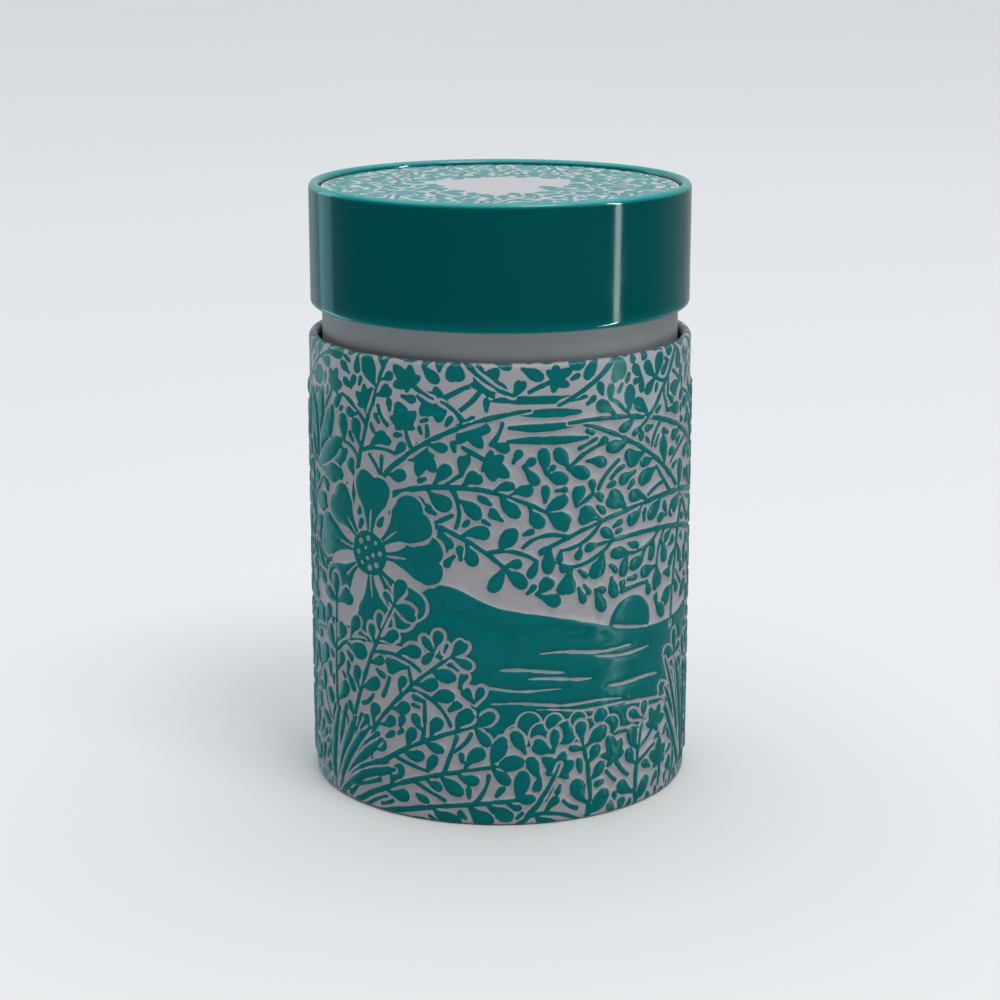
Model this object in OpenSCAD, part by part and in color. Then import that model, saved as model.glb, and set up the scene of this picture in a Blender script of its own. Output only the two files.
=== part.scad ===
// Slip-lid powder tin: an embossed outer shell around a plain inner sleeve, with a rotary sifter
// under a lift-off lid. Sheet-metal parts are drawn as a centre line that is thickened and revolved.
// Origin: centre of the standing ring. +Z is up. The front faces -Y. Millimetres.

/* [Overall] */
// Radius over the embossing of the body
body_r = 37.5; // [36.5:0.5:42]
// Height of the body's top edge above the surface it stands on
body_h = 88.5; // [70:0.5:120]
// Height of the embossing above the plain sheet
emboss_h = 0.5; // [0.3:0.1:0.8]
// Height of the neck that shows between body and lid
neck_reveal = 5.3; // [3:0.1:10]

/* [Sheet metal] */
// Thickness of the body and base sheet
sheet_t = 0.3; // [0.2:0.05:0.4]
// Outside diameter of the rolled edge at the top of the body
body_curl_d = 1.8; // [1.6:0.1:2.2]

/* [Inner sleeve] */
// Clearance between the body's rolled edge and the sleeve
sleeve_gap = 0.8; // [0.5:0.1:1.2]
// Wall thickness of the sleeve
sleeve_t = 0.4; // [0.3:0.05:0.6]

/* [Lid] */
// Height of the lid
lid_h = 23.4; // [20:0.2:32]
// Step between the body's plain sheet and the lid's wall
lid_inset = 0.4; // [0.2:0.1:0.6]
// Thickness of the lid's sheet
lid_t = 0.35; // [0.25:0.05:0.45]
// Outside width of the lid's top bead and of its rolled lower edge
lid_bead_d = 2.05; // [1.9:0.05:2.3]
// Thickness of the printed disc set into the lid
panel_t = 0.25; // [0.2:0.05:0.4]
// Thickness of the liner disc inside the lid
seal_t = 1.45; // [1:0.05:1.6]

/* [Sifter] */
// Depth of the sifter's floor below its rim
well_depth = 9.85; // [9:0.05:14]
// Wall thickness of the sifter insert
sifter_t = 0.5; // [0.4:0.1:0.8]
// Radius of the turning dial
dial_r = 26; // [24:0.5:28]
// Thickness of the turning dial
dial_t = 0.6; // [0.5:0.1:0.8]
// Radius of one sifting hole
hole_r = 0.95; // [0.7:0.05:1]
// Number of hole clusters round the dial
clusters = 6; // [4:1:6]
// Radius of the rivet's shank
rivet_r = 2; // [1.5:0.25:2.5]

/* [Hidden] */

REVOLVE_FN = 96;
ARC_STEPS = 8;         // segments in each quarter of a rolled edge or bend
TOUCH = 0.05;          // air between faces that slide or turn on each other

// Radii of the plain body sheet, outside, at its centre line and inside
wall_r = body_r - emboss_h;
wall_mid_r = wall_r - sheet_t / 2;
wall_in_r = wall_r - sheet_t;

// The embossed band, and the short slopes at its ends
band_bottom = 3.2;
band_top = body_h - 9.5;
band_slope = 0.6;

// Rolled edge at the top of the body
body_curl_r = (body_curl_d - sheet_t) / 2;
body_curl_c = [wall_mid_r - body_curl_r, body_h - body_curl_d / 2];
rim_in_r = wall_r - body_curl_d;

// Standing ring and base end
hem_in_r = wall_in_r - 1.3;
hem_bend_r = 0.8;
lip_top = 2.4;
flange_z = sheet_t * 1.5;
groove_z = 3;
panel_z = groove_z + 1.6;
bend = 0.3;
rim_bend = 0.1;                 // tighter bend where the sifter hooks over the sleeve

// Sleeve, whose foot stands on the gasket in the base end's groove
sleeve_r = rim_in_r - sleeve_gap;
sleeve_in_r = sleeve_r - sleeve_t;
sleeve_mid_r = sleeve_r - sleeve_t / 2;
gasket_t = 0.6;
gasket_z = groove_z + sheet_t / 2;
sleeve_foot = gasket_z + gasket_t;
step_r = sleeve_in_r - 0.35;    // centre line of the step that locates the sleeve's foot

// Lid levels, from the outside in
lid_bottom = body_h + neck_reveal;
lid_top = lid_bottom + lid_h;
lid_r = wall_r - lid_inset;
bead_r = (lid_bead_d - lid_t) / 2;
bead_c_r = lid_r - lid_bead_d / 2;
bead_drop = 1.55;               // from the top of the bead to the centre line of the lid's floor
floor_z = lid_top - bead_drop;
panel_r = lid_r - lid_bead_d - 0.35;
seal_top = floor_z - lid_t / 2 - TOUCH;
seal_r = lid_r - lid_t - 0.65;

// Sifter levels, from the rim down
sifter_rim = seal_top - seal_t - 2 * TOUCH;
sleeve_top = sifter_rim - sifter_t;
sifter_wall_r = sleeve_in_r - TOUCH - sifter_t / 2;
sifter_floor = sifter_rim - well_depth;
dial_z = sifter_floor + TOUCH;
washer_t = 0.3;
washer_z = dial_z + dial_t + 0.03;
head_z = washer_z + washer_t + 0.02;
head_h = 0.85;
head_r = 2.1 * rivet_r;
tail_h = 0.7;
tail_r = 1.6 * rivet_r;
bore_air = 0.05;                // radial running clearance of the dial on the rivet

// One cluster's holes as [ring radius, angle from the cluster's middle]
CLUSTER = [[9.5, 0], [14, -9], [14, 9], [19, -11], [19, 0], [19, 11]];
cluster_pitch = 360 / clusters;
shut_turn = cluster_pitch / 2;  // the dial's holes lie this far from the plate's when shut

tab_size = [6, 2, 2.9];         // length, thickness and height of a finger tab
tab_at = 23.5;

// A pip on the plate runs in a curved slot in the dial, and stops it when shut and when open
pip_r = 0.7;
pip_at = dial_r - 2.6;
pip_angle = 90;
slot_air = 0.1;

// Points of an arc about c, from angle a0 to a1
function arc(c, r, a0, a1) =
    let (n = ceil(ARC_STEPS * abs(a1 - a0) / 90))
    [for (i = [0:n]) let (a = a0 + (a1 - a0) * i / n) c + r * [cos(a), sin(a)]];
function unit(v) = v / norm(v);
function left_of(v) = [-v[1], v[0]];
// The direction that a corner of a line moves in when the line is thickened, scaled to keep the width
function miter(line, i) =
    let (last = len(line) - 1,
         a = left_of(unit(line[max(i, 1)] - line[max(i, 1) - 1])),
         b = left_of(unit(line[min(i, last - 1) + 1] - line[min(i, last - 1)])))
    (a + b) / (1 + a * b);
// The outline of a sheet of thickness t whose centre line is given
function sheet(line, t) = concat(
    [for (i = [0:len(line) - 1]) line[i] + miter(line, i) * t / 2],
    [for (i = [len(line) - 1:-1:0]) line[i] - miter(line, i) * t / 2]);

module revolved_sheet(line, t) {
    rotate_extrude($fn = REVOLVE_FN) polygon(sheet(line, t));
}
module ring(outer_r, inner_r, z, h) {
    translate([0, 0, z]) difference() {
        cylinder(r = outer_r, h = h, $fn = REVOLVE_FN);
        translate([0, 0, -1]) cylinder(r = inner_r, h = h + 2, $fn = REVOLVE_FN);
    }
}
module sifting_holes(turn) {
    for (k = [0:clusters - 1], hole = CLUSTER)
        rotate(k * cluster_pitch + turn + hole[1]) translate([hole[0], 0, sifter_floor - 2])
            cylinder(r = hole_r, h = 4, $fn = 24);
}

// Curved slot that spans the dial's turn, seen from the pip as the dial goes from shut to open
module stop_slot() {
    half_w = pip_r + slot_air;
    translate([0, 0, sifter_floor - 2]) {
        rotate(pip_angle - shut_turn) rotate_extrude(angle = shut_turn, $fn = REVOLVE_FN)
            translate([pip_at - half_w, 0]) square([2 * half_w, 4]);
        for (a = [pip_angle - shut_turn, pip_angle])
            rotate(a) translate([pip_at, 0, 0]) cylinder(r = half_w, h = 4, $fn = 24);
    }
}

// Outer shell: standing hem, plain foot, embossed band drawn at its full height, and rolled top edge
module body_shell() {
    line = concat(
        [[hem_in_r, sheet_t / 2]],
        arc([wall_mid_r - hem_bend_r, hem_bend_r + sheet_t / 2], hem_bend_r, -90, 0),
        [[wall_mid_r, band_bottom], [wall_mid_r + emboss_h, band_bottom + band_slope],
         [wall_mid_r + emboss_h, band_top], [wall_mid_r, band_top + band_slope]],
        arc(body_curl_c, body_curl_r, 0, 250));
    color([0.58, 0.56, 0.58]) revolved_sheet(line, sheet_t);
}

// Bottom of the tin: lip and flange inside the shell's hem, countersink, sleeve groove, raised panel
module base_end() {
    lip_r = wall_in_r - sheet_t / 2 - TOUCH;
    flange_in_r = hem_in_r - 0.4;
    line = concat(
        [[lip_r, lip_top]],
        arc([lip_r - 0.5, flange_z + 0.5], 0.5, 0, -90),
        [[flange_in_r + bend, flange_z], [flange_in_r, flange_z + bend],
         [flange_in_r, groove_z - bend], [flange_in_r - bend, groove_z],
         [step_r + bend, groove_z], [step_r, groove_z + bend],
         [step_r, panel_z - bend], [step_r - bend, panel_z],
         [21, panel_z], [20.4, panel_z + 0.5], [19, panel_z + 0.5], [18.4, panel_z], [0, panel_z]]);
    color("silver") revolved_sheet(line, sheet_t);
}

// Soft ring under the sleeve's foot, which keeps powder out of the double wall
module foot_gasket() {
    color("whitesmoke") ring(sleeve_r + 0.1, step_r + sheet_t / 2 + bend, gasket_z, gasket_t);
}

// Plain inner wall that holds the powder and stands out of the body as the neck
module inner_sleeve() {
    color([0.62, 0.63, 0.64]) ring(sleeve_r, sleeve_in_r, sleeve_foot, sleeve_top - sleeve_foot);
}

// Ring that holds the sleeve in the middle of the shell, just above the embossed band
module centering_ring() {
    color("gray") ring(wall_in_r - TOUCH, sleeve_r + TOUCH, band_top + band_slope + 0.5, 3);
}

// Drawn insert that hooks over the sleeve's edge: rim, wall and perforated floor
module sifter_plate() {
    rim_z = sifter_rim - sifter_t / 2;
    floor_mid = sifter_floor - sifter_t / 2;
    line = [[sleeve_r, rim_z], [sifter_wall_r + rim_bend, rim_z], [sifter_wall_r, rim_z - rim_bend],
            [sifter_wall_r, floor_mid + bend], [sifter_wall_r - bend, floor_mid], [0, floor_mid]];
    color("white") difference() {
        revolved_sheet(line, sifter_t);
        sifting_holes(0);
        translate([0, 0, sifter_floor - 2]) cylinder(r = rivet_r + 0.02, h = 4, $fn = 48);
    }
    color("white") rotate(pip_angle) translate([pip_at, 0, sifter_floor - sifter_t / 2])
        cylinder(r = pip_r, h = sifter_t / 2 + dial_t + 0.3, $fn = 24);
}

// Turning disc that uncovers the holes, with two finger tabs
module sifter_dial() {
    color("teal") difference() {
        union() {
            translate([0, 0, dial_z]) cylinder(r = dial_r, h = dial_t, $fn = REVOLVE_FN);
            for (side = [0, 180]) rotate(side) translate([tab_at, 0, dial_z + dial_t])
                translate([-tab_size[1] / 2, -tab_size[0] / 2, -dial_t / 2])
                    cube([tab_size[1], tab_size[0], tab_size[2] + dial_t / 2]);
        }
        sifting_holes(shut_turn);
        stop_slot();
        translate([0, 0, sifter_floor - 2]) cylinder(r = rivet_r + bore_air, h = 4, $fn = 48);
    }
}

// Washer between the rivet's head and the dial
module pivot_washer() {
    color("silver") ring(head_r + 0.3, rivet_r + 0.06, washer_z, washer_t);
}

// Rivet that the dial turns on: domed head, shank and clinched tail
module pivot_rivet() {
    under = sifter_floor - sifter_t;
    color("silver") rotate_extrude($fn = 48) polygon(concat(
        [[0, under - tail_h], [tail_r - 0.3, under - tail_h], [tail_r, under - tail_h + 0.3],
         [tail_r, under], [rivet_r, under], [rivet_r, head_z], [head_r, head_z]],
        [for (a = [0:15:90]) [head_r * cos(a), head_z + 0.25 + (head_h - 0.25) * sin(a)]]));
}

// Lid: rolled lower edge that rides on the neck, plain wall, top bead and sunk floor
module lid_shell() {
    inner_r = bead_c_r - bead_r;
    line = concat(
        arc([bead_c_r, lid_bottom + lid_bead_d / 2], bead_r, -250, 0),
        arc([bead_c_r, lid_top - lid_bead_d / 2], bead_r, 0, 180),
        [[inner_r, floor_z + bend], [inner_r - bend, floor_z], [0, floor_z]]);
    color([0, 0.42, 0.39]) revolved_sheet(line, lid_t);
}

// Printed and embossed disc in the lid's recess
module lid_panel() {
    color([0.75, 0.86, 0.86]) translate([0, 0, floor_z + lid_t / 2])
        cylinder(r = panel_r, h = panel_t, $fn = REVOLVE_FN);
}

// Loose liner disc, held in the lid by the rolled edge below it
module lid_seal() {
    color("ivory") translate([0, 0, seal_top - seal_t]) cylinder(r = seal_r, h = seal_t, $fn = REVOLVE_FN);
}

body_shell();
base_end();
foot_gasket();
inner_sleeve();
centering_ring();
sifter_plate();
sifter_dial();
pivot_washer();
pivot_rivet();
lid_shell();
lid_panel();
lid_seal();
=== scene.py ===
"""Looks of a round embossed powder tin: its print and embossing, its materials, the light and the camera.

The print is drawn as signed depths on a flat grid in millimetres. Its edges become the edges of the mesh, so
the lacquered motifs are raised shapes with clean outlines. The flat sheet is then wrapped round the tin.
"""

import math

import bpy
import numpy as np
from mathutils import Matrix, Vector
from mathutils.geometry import delaunay_2d_cdt


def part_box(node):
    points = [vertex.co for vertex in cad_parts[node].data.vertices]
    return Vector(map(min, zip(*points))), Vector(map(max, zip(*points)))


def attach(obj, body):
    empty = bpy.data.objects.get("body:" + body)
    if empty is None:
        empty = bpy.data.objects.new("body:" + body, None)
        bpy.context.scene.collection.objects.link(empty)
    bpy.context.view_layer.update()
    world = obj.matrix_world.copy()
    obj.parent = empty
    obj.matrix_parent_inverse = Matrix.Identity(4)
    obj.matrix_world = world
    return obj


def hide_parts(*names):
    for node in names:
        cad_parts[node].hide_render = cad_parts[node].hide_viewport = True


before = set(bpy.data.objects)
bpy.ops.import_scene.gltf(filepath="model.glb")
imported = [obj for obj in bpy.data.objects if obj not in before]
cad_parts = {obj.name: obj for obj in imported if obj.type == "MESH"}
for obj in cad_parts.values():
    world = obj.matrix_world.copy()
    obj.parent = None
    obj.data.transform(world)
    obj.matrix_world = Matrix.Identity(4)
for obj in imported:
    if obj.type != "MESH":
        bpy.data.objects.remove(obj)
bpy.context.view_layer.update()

MM = 0.001
FULL = 2 * math.pi

# ---- Camera --------------------------------------------------------------------------------------
CAMERA_BACK = 0.45087  # metres in front of the tin's axis
CAMERA_UP = 0.17066  # metres above the floor
CAMERA_DOWN = math.radians(14.52)
CAMERA_LENS = 84.73
CAMERA_SENSOR = 36


def make_camera():
    """A camera at the photo's viewing angle."""
    data = bpy.data.cameras.new("camera")
    data.lens = CAMERA_LENS
    data.sensor_width = CAMERA_SENSOR
    camera = bpy.data.objects.new("camera", data)
    camera.location = (0, -CAMERA_BACK, CAMERA_UP)
    camera.rotation_euler = (math.pi / 2 - CAMERA_DOWN, 0, 0)
    bpy.context.scene.collection.objects.link(camera)
    bpy.context.scene.camera = camera


# ---- Sizes in millimetres, from the frame --------------------------------------------------------
def corner(node):
    """Radius, lowest and highest level of a CAD node."""
    low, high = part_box(node)
    return round(high.x / MM, 2), round(low.z / MM, 3), round(high.z / MM, 3)


SHEET = 0.3  # thickness of the body's sheet
EMBOSS = 0.5  # height of the body's raised motifs
BAND_LOW = 3.2  # levels between which the body is embossed
BAND_HIGH = 79.4
BAND_SLOPE = 0.8  # height over which the embossing fades at both levels
HEM_R = 0.95  # outside radius of the bend at the body's foot
HEM_WIDTH = 1.3  # how far the hem is turned in under the foot
CURL_R = 0.9  # outside radius of the body's rolled top edge
CURL_END = math.radians(250)  # how far the rolled edges are rolled round
LID_SHEET = 0.35
LID_BEAD = 2.05  # outside width of the lid's rolled edges
LID_FLOOR_DROP = 1.55  # from the top of the lid's bead to the middle of its floor
LID_EMBOSS = 0.3  # height of the printed disc's raised motifs
RING = 240  # segments round a turned piece

BODY_R, _, BODY_TOP = corner("body_shell")
LID_R, LID_LOW, LID_HIGH = corner("lid_shell")
PANEL_R, PANEL_LOW, PANEL_HIGH = corner("lid_panel")
WALL_R = BODY_R - EMBOSS
AROUND = FULL * WALL_R
FOOT_ARC = HEM_R * math.pi / 2
WALL_END = FOOT_ARC + BODY_TOP - HEM_R - CURL_R
PRINT_END = WALL_END + CURL_R * math.pi

# ---- Print: shapes as depths on a grid -----------------------------------------------------------
CELLS_AROUND = 1550
CELL = AROUND / CELLS_AROUND  # size of the grid's cells
FAR = 5.0  # depth given to points far outside every shape
REACH = 3.0  # how far outside a shape its depth is worked out
GAP = 0.6  # bare line round a shape that lies over others
PETAL_GAP = 0.9
FINE_GAP = 0.42
BUSH_GAP = 0.35
EDGE_GAP = 0.5  # bare line along the edges of a sheet
SWELL_CELLS = 5  # how far a shape looks round itself for room, in cells
SWELL_ROOM = 0.29  # half the bare line that is left between shapes
SWELL_MOST = 0.22
CUT_SIZE = 0.06  # how uneven the shapes' edges are
WAVES = 12  # waves that make them so
WAVE_LENGTHS = (2.0, 6.0)


class Print:
    """Printed shapes on a flat sheet, as the depth that each grid point lies inside them."""

    def __init__(self, low, high):
        self.low = np.array(low, float)
        self.cols = round((high[0] - low[0]) / CELL) + 1
        self.rows = round((high[1] - low[1]) / CELL) + 1
        self.depth = np.full((self.rows, self.cols), -FAR)
        self.furrows = np.zeros((self.rows, self.cols))

    def places(self):
        """The places of all the grid's points, across and up."""
        return self.spots(np.arange(self.cols), np.arange(self.rows))

    def spots(self, cols, rows):
        """The places of some columns and rows."""
        return self.low[0] + cols[None, :] * CELL, self.low[1] + rows[:, None] * CELL

    def window(self, low, high):
        """The columns and rows that cover a box."""
        first = np.floor((low - self.low) / CELL).astype(int)
        last = np.ceil((high - self.low) / CELL).astype(int) + 1
        return (np.arange(max(first[0], 0), min(last[0], self.cols)),
                np.arange(max(first[1], 0), min(last[1], self.rows)))

    def shape(self, strokes):
        """A union of strokes: its columns, its rows and its depth there."""
        lows = [(path - radii[:, None]).min(0) - REACH for path, radii in strokes]
        highs = [(path + radii[:, None]).max(0) + REACH for path, radii in strokes]
        cols, rows = self.window(np.min(lows, axis=0), np.max(highs, axis=0))
        depth = np.full((len(rows), len(cols)), -FAR)
        for (path, radii), low, high in zip(strokes, lows, highs):
            part_cols, part_rows = self.window(low, high)
            if len(part_cols) and len(part_rows):
                at = np.ix_(part_rows - rows[0], part_cols - cols[0])
                inside = stroke_depth(path, radii, *self.spots(part_cols, part_rows))
                depth[at] = np.maximum(depth[at], inside)
        return cols, rows, depth

    def lay(self, strokes, gap=GAP, cuts=()):
        """Lays a shape over what is there, with a bare line round it. Cuts are bare marks inside it."""
        cols, rows, depth = self.shape(strokes)
        if not depth.size:
            return
        for path, radii in cuts:
            depth = np.minimum(depth, -stroke_depth(path, radii, *self.spots(cols, rows)))
        at = np.ix_(rows, cols)
        self.depth[at] = np.maximum(np.minimum(self.depth[at], -(depth + gap)), depth)

    def add(self, strokes):
        """Joins strokes to what is there."""
        if strokes:
            cols, rows, depth = self.shape(strokes)
            at = np.ix_(rows, cols)
            self.depth[at] = np.maximum(self.depth[at], depth)

    def lay_area(self, area, gap=GAP):
        """Lays an area, given as depths on the whole grid, over what is there."""
        self.depth = np.maximum(np.minimum(self.depth, -(area + gap)), area)

    def press(self, strokes, height):
        """Presses soft furrows along strokes, which leave the print as it is."""
        cols, rows, depth = self.shape(strokes)
        if depth.size:
            at = np.ix_(rows, cols)
            self.furrows[at] = np.maximum(self.furrows[at], height * smooth_step(depth / strokes[0][1].max()))

    def swell(self):
        """Widens the shapes where there is room between them."""
        room = -self.depth
        for axis in (0, 1):
            for _ in range(SWELL_CELLS):
                padded = np.pad(room, [(1, 1) if a == axis else (0, 0) for a in (0, 1)], mode="edge")
                size = room.shape[axis]
                room = np.maximum(padded.take(range(size), axis), padded.take(range(2, size + 2), axis))
        self.depth += softened(np.clip(room - SWELL_ROOM, 0, SWELL_MOST))

    def cut(self, strokes):
        """Cuts bare marks into what is there."""
        cols, rows, depth = self.shape(strokes)
        if depth.size:
            at = np.ix_(rows, cols)
            self.depth[at] = np.minimum(self.depth[at], -depth)

    def clear(self, area):
        """Bares an area, given as depths on the whole grid."""
        self.depth = np.minimum(self.depth, -area)

    def at(self, points):
        """The depth at points, between the grid's own."""
        return between(self.depth, points, self.low)


def smooth_step(value):
    """A rise from 0 to 1 as the value does, with level ends."""
    share = np.clip(value, 0, 1)
    return share * share * (3 - 2 * share)


def softened(values):
    """A grid with each value averaged with its neighbours."""
    padded = np.pad(values, 1, mode="edge")
    across = (padded[:, :-2] + 2 * padded[:, 1:-1] + padded[:, 2:]) / 4
    return (across[:-2] + 2 * across[1:-1] + across[2:]) / 4


def between(values, points, low):
    """Values of a grid at points between its own."""
    place = (np.asarray(points) - low) / CELL
    limit = np.array([values.shape[1], values.shape[0]]) - 2
    first = np.clip(np.floor(place).astype(int), 0, limit)
    share = place - first
    col, row = first.T
    across, up = share.T
    lower = values[row, col] * (1 - across) + values[row, col + 1] * across
    upper = values[row + 1, col] * (1 - across) + values[row + 1, col + 1] * across
    return lower * (1 - up) + upper * up


def stroke_depth(path, radii, x, y):
    """How far each point lies inside a round-ended stroke of varying width."""
    depth = np.full(np.broadcast(x, y).shape, -FAR)
    for (ax, ay), (bx, by), ra, rb in zip(path, path[1:], radii, radii[1:]):
        dx = bx - ax
        dy = by - ay
        share = np.clip(((x - ax) * dx + (y - ay) * dy) / (dx * dx + dy * dy), 0, 1)
        depth = np.maximum(depth, ra + (rb - ra) * share - np.hypot(x - ax - share * dx, y - ay - share * dy))
    return depth


# ---- Print: motifs -------------------------------------------------------------------------------
def arc_path(start, heading, length, turn, count=8):
    """Points along a path that leaves start at a heading and turns evenly over its length."""
    middle = (np.arange(count - 1) + 0.5) / (count - 1)
    angle = heading + turn * middle
    hops = np.column_stack([np.cos(angle), np.sin(angle)]) * length / (count - 1)
    return np.vstack([start, start + np.cumsum(hops, axis=0)])


LEAF_FOOT = 0.2  # half width of a leaf's foot
LEAF_TIP = 0.3  # share of a leaf's width that its round tip adds to its length
LEAF_FULLNESS = 0.75  # the lower, the fuller its sides
BELLY = 0.66  # where it is widest, as a share of its length
DOT_LENGTH = 0.01
STEM_POINTS = 16
STEM_FOOT = 0.46  # half width of a stem at its foot and at its tip
STEM_TIP = 0.2


def leaf(start, heading, length, width, turn=0.0, belly=BELLY, foot=LEAF_FOOT):
    """A leaf that swells from a narrow foot to its widest at the share belly of its length."""
    path = arc_path(start, heading, length - LEAF_TIP * width, turn)
    share = np.linspace(0, 1, len(path))
    swell = np.sin(math.pi * share ** (math.log(0.5) / math.log(belly)))
    return path, foot + (width / 2 - foot) * np.maximum(swell, 0) ** LEAF_FULLNESS


def dot(centre, radius):
    """A round dot, as a very short stroke."""
    return np.array([centre, np.add(centre, (DOT_LENGTH, 0))]), np.full(2, radius)


def stem(start, heading, length, turn, foot=STEM_FOOT, tip=STEM_TIP):
    """A thin stroke that tapers to its tip."""
    path = arc_path(start, heading, length, turn, STEM_POINTS)
    return path, np.linspace(foot, tip, len(path))


def along(path, share):
    """The point and the heading at a share of a path's length."""
    place = share * (len(path) - 1)
    k = min(int(place), len(path) - 2)
    step = path[k + 1] - path[k]
    return path[k] + (place - k) * step, math.atan2(step[1], step[0])


LEAF_SCALES = (1.25, 1.05, 0.88, 0.72, 0.58)  # sizes that a leaf is tried at, as shares
LEAF_LENGTHS = (0.9, 1.1)  # how its length and width vary, as shares
LEAF_WIDTHS = (0.85, 1.15)
PLUMP = 0.46  # width of a leaf, as a share of its length
LEAF_STRAY = 0.2  # how far its heading strays
LEAF_TURN = 0.3  # how far it turns to either side
LEAF_SWEEP = 0.75  # and how far towards its stem's tip
LEAF_BELLY = (0.64, 0.82)
NOTCHED = 0.22  # share of the leaves that have a notched end
NOTCH_ANGLE = 0.15  # of a notched leaf's two lobes to its middle
NOTCH_WIDTH = 0.8  # width of its lobes, and length of its second, as shares
NOTCH_LENGTH = 0.93
OWN_GAP = 0.42  # bare line that a leaf keeps from others
FOOT_MERGE = 0.3  # how far a leaf's foot may run into its stem
NEAR_FOOT = slice(2, 4)  # points of a leaf's path next to its foot, and those beyond
BEYOND_FOOT = slice(4, None)


def fitting_leaf(sheet, rng, place, heading, size, lean=0):
    """Strokes of the largest leaf from a place that there is room for, or none. Some have a notched end."""
    for scale in LEAF_SCALES:
        long = size * scale * rng.uniform(*LEAF_LENGTHS)
        wide = long * PLUMP * rng.uniform(*LEAF_WIDTHS)
        course = heading + rng.uniform(-LEAF_STRAY, LEAF_STRAY)
        turn = rng.uniform(-LEAF_TURN, LEAF_TURN) - LEAF_SWEEP * lean
        belly = rng.uniform(*LEAF_BELLY)
        halves = ((course, long, wide),)
        if rng.random() < NOTCHED:
            halves = ((course - NOTCH_ANGLE, long, NOTCH_WIDTH * wide),
                      (course + NOTCH_ANGLE, NOTCH_LENGTH * long, NOTCH_WIDTH * wide))
        strokes = [leaf(place, toward, length, width, turn, belly) for toward, length, width in halves]
        if all(fits(sheet, path, radii) for path, radii in strokes):
            return strokes
    return []


def fits(sheet, path, radii):
    """Whether a leaf has room: next to its foot it may touch its stem, and beyond it keeps a gap."""
    room = -sheet.at(path) - radii
    return bool(np.all(room[NEAR_FOOT] > -FOOT_MERGE) and np.all(room[BEYOND_FOOT] > OWN_GAP))


END_SPREAD = 1.15  # angle between the three leaves at a stem's end
LEAF_ASIDE = (0.8, 1.15)  # angle between the other leaves and their stem
LEAF_STEP = 0.35  # distance between leaves, as a share of their length
LEAVES_FROM = 0.06  # where on a stem its leaves start and how far they go, as shares
LEAVES_OVER = 0.9


def end_leaves(sheet, rng, end, heading, size):
    """Three leaves that spread from a place."""
    for aside in (0, -END_SPREAD, END_SPREAD):
        sheet.add(fitting_leaf(sheet, rng, end, heading + aside, size))


def leaves_along(sheet, rng, path, length, size):
    """Leaves on a stem, as large as their room allows: three at its end, then on both its sides."""
    end, course = along(path, 1)
    end_leaves(sheet, rng, end, course, size)
    count = max(round(length / (LEAF_STEP * size)), 1)
    for k in range(count):
        place, course = along(path, LEAVES_FROM + LEAVES_OVER * (k + 0.5) / count)
        side = 1 if k % 2 else -1
        sheet.add(fitting_leaf(sheet, rng, place, course + side * rng.uniform(*LEAF_ASIDE), size, side))


TWIG_FOOT = 0.28  # half width of a twig at its foot and at its tip
TWIG_TIP = 0.16
TWIG_GAP = 0.6  # bare line that a twig's stem keeps from others
TWIG_OUT = 1.5  # how far from its foot a twig has left its stalk's bare line
TWIG_SHORTEST = 0.9  # as a share of its leaves' length
TWIG_TURN = 1.3  # the most that a twig turns
TWIG_ASIDE = 0.75  # angle between a twig and its stem, and how it varies, as shares
TWIG_ASIDES = (0.7, 1.3)
TWIG_STEP = 6.5  # distance between the twigs on a stem
TWIG_PLACES = (0.3, 0.7)  # where in its step each one stands
TWIG_LENGTH = 11.0
TWIG_LENGTHS = (0.7, 1.2)  # how their length varies, as shares
SHOOT_LENGTH = 6.5  # length of the twigs that fill the room left
SHOOT_LENGTHS = (0.6, 1.3)
SHOOT_PLACES = (0.1, 1)  # where on a stem they start


def sprig(sheet, rng, inside, place, heading, length, size):
    """A thin stem that stops short of what is there: its path, length and leaf size, or none."""
    path, radii = stem(place, heading, length, TWIG_TURN * rng.uniform(-1, 1), TWIG_FOOT, TWIG_TIP)
    out = np.hypot(*(path - place).T) > TWIG_OUT
    free = (sheet.at(path[out]) < -(radii[out] + TWIG_GAP)) & inside(path[out])
    count = int(np.argmax(out)) + (len(free) if free.all() else int(np.argmin(free)))
    long = length * count / STEM_POINTS
    if long < TWIG_SHORTEST * size:
        return []
    sheet.add([(path[:count], radii[:count])])
    return [(path[:count], long, size)]


def twig(sheet, rng, inside, stalk, side, share, length):
    """A sprig that leaves a stalk to one side."""
    path, _, size = stalk
    place, course = along(path, share)
    heading = course + side * TWIG_ASIDE * rng.uniform(*TWIG_ASIDES)
    return sprig(sheet, rng, inside, place, heading, length, size)


def grow(sheet, rng, inside, stalks, shoots):
    """Twigs beside stalks (paths with a length and a leaf size), leaves on both, and shoots between."""
    grown = list(stalks)
    for stalk in stalks:
        count = round(stalk[1] / TWIG_STEP)
        for k in range(count):
            side = 1 if k % 2 else -1
            share = (k + rng.uniform(*TWIG_PLACES)) / count
            grown += twig(sheet, rng, inside, stalk, side, share, TWIG_LENGTH * rng.uniform(*TWIG_LENGTHS))
    for stalk in grown:
        leaves_along(sheet, rng, *stalk)
    for _ in range(shoots):
        stalk = grown[rng.integers(len(grown))]
        side = 1 if rng.random() < 0.5 else -1
        share = rng.uniform(*SHOOT_PLACES)
        sprouts = twig(sheet, rng, inside, stalk, side, share, SHOOT_LENGTH * rng.uniform(*SHOOT_LENGTHS))
        for sprout in sprouts:
            leaves_along(sheet, rng, *sprout)
        grown += sprouts


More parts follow.
